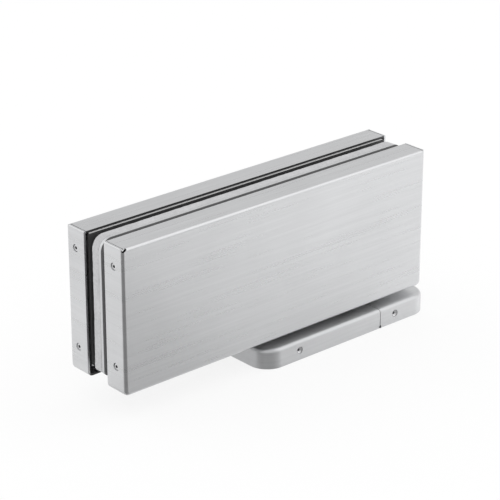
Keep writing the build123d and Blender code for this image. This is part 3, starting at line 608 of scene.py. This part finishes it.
def finish_named(name):
    """The material of one finish, made at its first use."""
    label = name + "_finish"
    known = bpy.data.materials.get(label)
    if known:
        return known
    hues = bpy.context.scene.hinge_colours
    makers = {
        "satin_stainless": lambda: brushed_metal(label, hues.stainless, rough=0.37, stretch=0.85),
        "folded_stainless": lambda: folded_sheet(label, hues.stainless, 0.29, hues.painted_edge_shade),
        "stainless_screw": lambda: turned_metal(label, hues.screw, rough=0.28, axis="X"),
        "cast_aluminium": lambda: grained_metal(label, hues.casting, rough=0.46, grain=900.0),
        "zinc_plated_steel": lambda: grained_metal(label, hues.zinc, rough=0.38, grain=600.0, spread=0.08),
        "ground_steel": lambda: turned_metal(label, hues.ground, rough=0.26, axis="X"),
        "bearing_steel": lambda: turned_metal(label, hues.bearing, rough=0.14, axis="Z"),
        "spring_steel": lambda: grained_metal(label, hues.spring, rough=0.36, grain=1500.0, relief=0.1),
        "black_bolt_steel": lambda: grained_metal(
            label, hues.bolt, rough=0.42, grain=1400.0, spread=0.15, relief=0.15
        ),
        "black_gasket": lambda: rubber_with_painted_top_light(label, hues.rubber, hues.painted_top_light, rough=0.45),
        "gap_shaded_casting": lambda: casting_with_painted_light(
            label, hues.casting, hues.paint, hues.painted_top_light, FLANGE_Y
        ),
        "seal_rubber": lambda: soft_stuff(
            label, hues.seal, rough=0.50, grain=1600.0, spread=0.2, relief=0.15, depth=0.05 * MM
        ),
        "pale_fibre": lambda: soft_stuff(
            label, hues.fibre, rough=0.86, grain=900.0, spread=0.26, relief=0.75, depth=0.3 * MM
        ),
        "bronze": lambda: grained_metal(label, hues.bronze, rough=0.36, grain=1800.0, spread=0.12),
        "nylon": lambda: soft_stuff(
            label, hues.nylon, rough=0.48, grain=700.0, spread=0.05, relief=0.1, depth=0.05 * MM
        ),
    }
    return makers[name]().material


# Pieces

def screw_holes(piece, places, axis, sizes):
    """Cuts a hole for each screw, which runs along x or y, and chamfers its outer edge."""
    along = [int(name == axis) for name in "xyz"]
    for *place, way in places:
        start, end = (
            [at + step * way * shift for at, step in zip(place, along)] for shift in (-HOLE_OUT, HOLE_IN)
        )
        cut(piece, rod(piece.name + "_hole", start, end, sizes.hole, sides=40))
    for *place, _ in places:
        centre = Vector(place)
        round_edges(
            piece,
            lambda e: edge_at(e, **{axis: getattr(centre, axis)})
            and all(close_to((v.co - centre).length, sizes.hole) for v in e.verts),
            sizes.hole_edge, segments=2,
        )


def folded_cover(name, side, sizes):
    """One sheet folded on four sides, open towards the glass."""
    low, high = COVER_BOXES[side]
    face_y, rim_y = (low.y, high.y) if side == FRONT else (high.y, low.y)
    ends = (low.x, high.x)
    cover = block(name, low, high)
    round_edges(
        cover, lambda e: any(edge_at(e, x=x, z=low.z) for x in ends), sizes.bottom_corner, segments=8
    )
    round_edges(cover, lambda e: edge_at(e, y=face_y), sizes.fold, segments=8)
    drop_faces(cover, lambda f: f.normal.y * -side > FACING and close_to(f.calc_center_median().y, rim_y))
    thicken(cover, sizes.sheet)
    for x in ends:
        round_edges(cover, lambda e: edge_at(e, x=x, z=high.z), sizes.edge, segments=3)
    reach, through, half_width = sizes.notch / 2, sizes.fold * 1.2, sizes.notch_width / 2
    relief = block(name + "_relief", (-reach, -through, -half_width), (reach, through, half_width))
    relief.data.transform(Matrix.Rotation(radians(NOTCH_TURN), 4, "Y"))
    notch_place = (low.x + sizes.notch_inset, face_y, high.z - sizes.notch_drop)
    relief.data.transform(Matrix.Translation(notch_place))
    cut(cover, relief)
    for x, way in zip(ends, (1, -1)):
        seam_x = x + way * sizes.sheet
        left, right = sorted((seam_x, seam_x + way * sizes.seam))
        seam_low = (left, low.y - MM, high.z - sizes.sheet * 0.5)
        cut(cover, block(name + "_seam", seam_low, (right, high.y + MM, high.z + MM)))
    nick_ends = [(sizes.nick_x, y, low.z) for y in (face_y + side * MM, face_y - side * sizes.fold)]
    cut(cover, rod(name + "_nick", *nick_ends, sizes.nick, sides=24))
    screw_holes(cover, end_screw_places(side), "x", sizes)
    round_edges(cover, lambda e: edge_at(e, y=rim_y), sizes.rim, segments=2)
    smooth(cover)
    return cover


def end_screw_places(side):
    """Where the end screws of one cover stand: x at the cover's end, y, z and the way in."""
    low, high = COVER_BOXES[side]
    screw_low, screw_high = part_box(SCREW_NODES[side])
    radius = bpy.context.scene.hinge_screws.radius
    y = (screw_low.y + screw_high.y) / 2
    heights = (screw_high.z - radius, screw_low.z + radius)
    return [(x, y, z, way) for x, way in ((low.x, 1), (high.x, -1)) for z in heights]


def base_screw_places():
    """Where the base covers' screws stand: x, y at the base's side, z and the way in."""
    screw_low, screw_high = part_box("base_cover_screws")
    radius = bpy.context.scene.hinge_screws.radius
    z = (screw_low.z + screw_high.z) / 2
    places = (screw_low.x + radius, screw_high.x - radius)
    return [(x, y, z, way) for x in places for y, way in ((BASE_LOW.y, 1), (BASE_HIGH.y, -1))]


def base_shell(name, sizes):
    """Both base covers in one shell, before they are parted."""
    low, high = BASE_LOW, BASE_HIGH
    shell = block(name, low, high)
    round_edges(shell, stands_upright, sizes.base_corner, segments=16)
    round_edges(shell, lambda e: edge_at(e, z=high.z), sizes.base_fold, segments=8)
    drop_faces(shell, lambda f: f.normal.z < -FACING)
    thicken(shell, sizes.base_sheet)
    cut(shell, rod(name + "_hole", (0, 0, low.z), (0, 0, high.z + MM), sizes.base_hole, sides=64))
    notch_ends = [(0, y, sizes.base_notch) for y in (low.y - MM, high.y + MM)]
    cut(shell, rod(name + "_notch", *notch_ends, sizes.base_notch, sides=24))
    screw_holes(shell, base_screw_places(), "y", sizes)
    return shell


def base_half(shell, name, edge_x, keeps_left):
    """One base cover, parted from the shell at the joint."""
    half = own_copy(shell, name)
    bisect(half, edge_x, use_fill=True, clear_outer=keeps_left, clear_inner=not keeps_left)
    smooth(half)
    return half


def clamp_gasket(name, node, sizes, corner):
    """A gasket with an upper arm and a leg at the left, round at its outer corners."""
    low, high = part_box(node)
    gasket = block(name, (low.x, low.y, sizes.arm_bottom), high)
    bisect(gasket, sizes.leg_right)
    choose(gasket, "FACE", lambda f: f.normal.z < -FACING and f.calc_center_median().x < sizes.leg_right)
    bpy.ops.mesh.extrude_region_move(TRANSFORM_OT_translate={"value": (0, 0, low.z - sizes.arm_bottom)})
    bpy.ops.object.mode_set(mode="OBJECT")
    round_edges(
        gasket, lambda e: any(edge_at(e, x=x, z=high.z) for x in (low.x, high.x)), corner, segments=24
    )
    round_edges(gasket, lambda e: edge_at(e, x=low.x, z=low.z), sizes.foot_corner, segments=6)
    return gasket


def fray(gasket, sizes):
    """Gives the fibre gasket the uneven surface and the slight bow of cut fibre."""
    low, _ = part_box("front_gasket")
    modify(gasket, "REMESH", mode="VOXEL", voxel_size=sizes.fibre_voxel)
    waves = bpy.data.textures.new("Fibre waves", "CLOUDS")
    waves.noise_scale = 3.5 * MM
    waves.noise_depth = 3
    modify(
        gasket, "DISPLACE", texture=waves, texture_coords="LOCAL", mid_level=1.0, strength=sizes.fibre_swell
    )
    for vertex in gasket.data.vertices:
        drop = max(0.0, (sizes.arm_bottom - vertex.co.z) / (sizes.arm_bottom - low.z))
        vertex.co.y += sizes.fibre_bow * drop ** 2
    bpy.ops.object.shade_smooth()


def screw_pattern(name, length_along, sizes, cupped):
    """A grub screw at the origin, along +X, with a hexagon socket in a cupped or a round end."""
    screw = rod(name, (0, 0, 0), (length_along, 0, 0), sizes.radius, sides=36)
    round_edges(screw, lambda e: edge_at(e, x=length_along), sizes.radius * INNER_CHAMFER, segments=2)
    if cupped:
        round_edges(screw, lambda e: edge_at(e, x=0.0), sizes.radius * LIP_CHAMFER, segments=2)
        choose(screw, "FACE", lambda f: f.normal.x < -FACING)
        bpy.ops.mesh.inset(thickness=sizes.radius * CUP_RIM - sizes.cup_radius, depth=-sizes.cup)
        bpy.ops.object.mode_set(mode="OBJECT")
    else:
        round_edges(screw, lambda e: edge_at(e, x=0.0), sizes.round_end, segments=6)
    socket_end = (sizes.cup + sizes.socket, 0, 0)
    cut(screw, rod(name + "_socket", (-MM, 0, 0), socket_end, sizes.hexagon, sides=6))
    smooth(screw)
    return screw


def copies(pattern, name, places, turn_of):
    """Own copies of a pattern at several places, turned by their way in and joined to one piece."""
    made = []
    for number, (*place, way) in enumerate(places):
        one = own_copy(pattern, f"{name}_{number}")
        one.data.transform(Matrix.Rotation(turn_of(way), 4, "Z"))
        one.data.transform(Matrix.Translation(place))
        made.append(one)
    clear_selection()
    for one in made:
        one.select_set(True)
    piece = bpy.context.view_layer.objects.active = made[0]
    bpy.ops.object.join()
    piece.name = piece.data.name = name
    return piece


class HINGE_OT_folded_covers(bpy.types.Operator):
    """Folds the two stainless covers beside the glass"""

    bl_idname = "hinge.folded_covers"
    bl_label = "Folded covers"

    def execute(self, context):
        sizes = context.scene.hinge_covers
        sheet = finish_named("folded_stainless")
        front = folded_cover("front_folded_cover", FRONT, sizes)
        finish_piece(front, "front_half", sheet, "front_cover")
        rear = folded_cover("rear_folded_cover", REAR, sizes)
        finish_piece(rear, "door_side", sheet, "rear_cover")
        return {"FINISHED"}


class HINGE_OT_base_covers(bpy.types.Operator):
    """Makes the two stainless covers of the base"""

    bl_idname = "hinge.base_covers"
    bl_label = "Base covers"

    def execute(self, context):
        sizes = context.scene.hinge_covers
        sheet = finish_named("satin_stainless")
        shell = base_shell("base_shell", sizes)
        half_joint = sizes.base_split / 2
        long_half = base_half(shell, "base_cover_long", -half_joint, True)
        finish_piece(long_half, "floor_base", sheet, "long_base_cover")
        short_half = base_half(shell, "base_cover_short", half_joint, False)
        finish_piece(short_half, "floor_base", sheet, "short_base_cover")
        bpy.data.objects.remove(shell)
        return {"FINISHED"}


class HINGE_OT_gaskets(bpy.types.Operator):
    """Makes the pale fibre gasket and the black gasket"""

    bl_idname = "hinge.gaskets"
    bl_label = "Gaskets"

    def execute(self, context):
        sizes = context.scene.hinge_gaskets
        fibre = clamp_gasket("fibre_gasket", "front_gasket", sizes, sizes.top_corner)
        flange_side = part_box("front_gasket")[0].y
        round_edges(fibre, lambda e: edge_at(e, y=flange_side), sizes.fibre_edge, segments=1)
        fray(fibre, sizes)
        finish_piece(fibre, "front_half", finish_named("pale_fibre"), "front_gasket")
        rubber = clamp_gasket("rubber_gasket", "rear_gasket", sizes, sizes.rubber_corner)
        modify(rubber, "BEVEL", width=SOFT_EDGE, segments=2, limit_method="ANGLE", angle_limit=radians(40))
        smooth(rubber)
        finish_piece(rubber, "door_side", finish_named("black_gasket"), "rear_gasket")
        return {"FINISHED"}


class HINGE_OT_grub_screws(bpy.types.Operator):
    """Puts the grub screws into the ends of the covers and the sides of the base"""

    bl_idname = "hinge.grub_screws"
    bl_label = "Grub screws"

    def execute(self, context):
        sizes = context.scene.hinge_screws
        steel = finish_named("stainless_screw")
        pattern = screw_pattern("end_screw", sizes.end_length, sizes, cupped=False)
        rows = ((FRONT, "front_end_screws", "front_half"), (REAR, "rear_end_screws", "door_side"))
        for side, name, body in rows:
            low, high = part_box(SCREW_NODES[side])
            places = [(low.x if way > 0 else high.x, y, z, way) for _, y, z, way in end_screw_places(side)]
            screws = copies(pattern, name, places, lambda way: 0.0 if way > 0 else pi)
            finish_piece(screws, body, steel, SCREW_NODES[side])
        bpy.data.objects.remove(pattern)
        pattern = screw_pattern("base_screw", sizes.base_length, sizes, cupped=True)
        low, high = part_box("base_cover_screws")
        places = [(x, low.y if way > 0 else high.y, z, way) for x, _, z, way in base_screw_places()]
        screws = copies(pattern, "base_side_screws", places, lambda way: radians(90 * way))
        finish_piece(screws, "floor_base", steel, "base_cover_screws")
        bpy.data.objects.remove(pattern)
        return {"FINISHED"}


class HINGE_OT_frame_finishes(bpy.types.Operator):
    """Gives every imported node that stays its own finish"""

    bl_idname = "hinge.frame_finishes"
    bl_label = "Finishes of the packed parts"

    def execute(self, context):
        for entry in frame["record"]["subparts"]:
            piece = frame["nodes"][entry["node"]]
            # The front casting takes the finish with painted shade in its gap and painted light on top
            shaded_in_gap = entry["node"] == "front_clamp_plate"
            name = "gap_shaded_casting" if shaded_in_gap else entry["material_slot"]
            piece.data.materials.clear()
            piece.data.materials.append(finish_named(name))
        return {"FINISHED"}


# Studio

def lamp(name, place, size, power):
    """A square softbox that looks at the middle of the studio."""
    data = bpy.data.lights.new(name, "AREA")
    data.size = size
    data.energy = power
    softbox = bpy.data.objects.new(name, data)
    softbox.location = place
    softbox.rotation_euler = (Vector(STUDIO_MIDDLE) - Vector(place)).to_track_quat("-Z", "Y").to_euler()
    bpy.context.scene.collection.objects.link(softbox)


def make_camera():
    """The camera at the photograph's angle."""
    data = bpy.data.cameras.new("Camera")
    data.lens = CAMERA_LENS
    data.sensor_width = 36.0
    data.clip_start = 0.01
    camera = bpy.data.objects.new("Camera", data)
    camera.location = CAMERA_PLACE
    camera.rotation_euler = (radians(90 - CAMERA_DOWN), 0, radians(CAMERA_TURN))
    bpy.context.scene.collection.objects.link(camera)
    bpy.context.scene.camera = camera


def make_sky(studio):
    """A white world for the camera, softer light for the rest, and a darker side for metal."""
    world = bpy.data.worlds.new("Studio")
    bpy.context.scene.world = world
    world.use_nodes = True
    sky = Nodes(world.node_tree)
    way = sky.parts(sky.add("TexCoord").outputs["Generated"])
    turn = sky.span(sky.math("ARCTAN2", way["Y"], way["X"]), -pi, pi)
    stops = [((degrees + 180) / 360, level) for degrees, level in AROUND_LEVELS]
    around = sky.levels(turn, stops, studio.dark_side)
    gleam = sky.mix(sky.span(way["Z"], 0.0, HAZE_TOP), around, studio.backdrop)
    path = sky.add("LightPath").outputs
    seen = sky.mix(path["Is Glossy Ray"], studio.sky, gleam)
    clear = sky.math("MAXIMUM", path["Is Camera Ray"], path["Is Transmission Ray"])
    background = sky.tree.nodes["Background"]
    background.inputs["Color"].default_value = (1, 1, 1, 1)
    sky.give(background.inputs["Strength"], sky.mix(clear, seen, 1.0))


def make_floor(studio):
    """A pale floor that keeps the shadow; metal sees it half clear, and darker at the near left."""
    clear_selection()
    bpy.ops.mesh.primitive_plane_add(size=FLOOR_SIZE)
    floor = named("studio_floor")
    material = bpy.data.materials.new("studio_floor")
    material.use_nodes = True
    coat = Nodes(material.node_tree)
    coat.tree.nodes.remove(coat.tree.nodes["Principled BSDF"])
    path = coat.add("LightPath").outputs
    place = coat.parts(coat.add("TexCoord").outputs["Object"])
    stops = [((x + FLOOR_REACH) / (2 * FLOOR_REACH), level) for x, level in FLOOR_LEVELS]
    near = coat.levels(coat.span(place["X"], -FLOOR_REACH, FLOOR_REACH), stops, studio.dark_side)
    back = coat.span(place["Y"], *FLOOR_BACK)
    gleam = coat.mix_colours(back, near, (BACK_LEVEL, BACK_LEVEL, BACK_LEVEL, 1))
    tone = coat.mix_colours(path["Is Glossy Ray"], (*studio.floor, 1), gleam)
    matt = coat.add("BsdfDiffuse", {"Color": tone}).outputs[0]
    glow = coat.add("Emission", {"Strength": FLOOR_GLOW}).outputs[0]
    bright = coat.math("MULTIPLY", path["Is Camera Ray"], 1 - studio.shadow)
    lit = coat.add("MixShader", {"Fac": bright, 1: matt, 2: glow}).outputs[0]
    half_clear = coat.math("MULTIPLY", path["Is Glossy Ray"], studio.floor_clear)
    below = coat.math("MAXIMUM", half_clear, coat.add("NewGeometry").outputs["Backfacing"])
    nothing = coat.add("BsdfTransparent").outputs[0]
    whole = coat.add("MixShader", {"Fac": below, 1: lit, 2: nothing}).outputs[0]
    coat.give(coat.tree.nodes["Material Output"].inputs["Surface"], whole)
    floor.data.materials.append(material)


class HINGE_OT_studio(bpy.types.Operator):
    """Sets up the camera, the floor, the sky and the softboxes"""

    bl_idname = "hinge.studio"
    bl_label = "Studio"

    def execute(self, context):
        studio = context.scene.hinge_studio
        context.scene.view_settings.view_transform = "Standard"
        make_camera()
        make_sky(studio)
        make_floor(studio)
        lamp("key_softbox", place=(0.85, -0.62, 1.05), size=1.2, power=studio.key)
        lamp("side_softbox", place=(-0.85, 1.1, 0.95), size=1.2, power=studio.fill)
        return {"FINISHED"}


class HINGE_PT_panel(bpy.types.Panel):
    """Lists the steps that build the hinge's looks"""

    bl_idname = "HINGE_PT_panel"
    bl_label = "Floor hinge"
    bl_space_type = "VIEW_3D"
    bl_region_type = "UI"
    bl_category = "Floor hinge"

    def draw(self, context):
        for step in STEPS:
            self.layout.operator(step.bl_idname)


GROUPS = {
    "hinge_covers": HingeCoverSizes,
    "hinge_gaskets": HingeGasketSizes,
    "hinge_screws": HingeScrewSizes,
    "hinge_colours": HingeColours,
    "hinge_studio": HingeStudio,
}
STEPS = (
    HINGE_OT_studio,
    HINGE_OT_frame_finishes,
    HINGE_OT_folded_covers,
    HINGE_OT_base_covers,
    HINGE_OT_gaskets,
    HINGE_OT_grub_screws,
)
CLASSES = (*GROUPS.values(), *STEPS, HINGE_PT_panel)


def register():
    """Registers the classes and hangs the settings on the scene."""
    for each in CLASSES:
        bpy.utils.register_class(each)
    for name, group in GROUPS.items():
        setattr(bpy.types.Scene, name, bpy.props.PointerProperty(type=group))


def unregister():
    """Takes the settings and the classes away again."""
    for name in GROUPS:
        delattr(bpy.types.Scene, name)
    for each in reversed(CLASSES):
        bpy.utils.unregister_class(each)


def main():
    """Builds everything in order."""
    register()
    bpy.ops.hinge.studio()
    bpy.ops.hinge.frame_finishes()
    bpy.ops.hinge.folded_covers()
    bpy.ops.hinge.base_covers()
    bpy.ops.hinge.gaskets()
    bpy.ops.hinge.grub_screws()


if __name__ == "__main__":
    main()
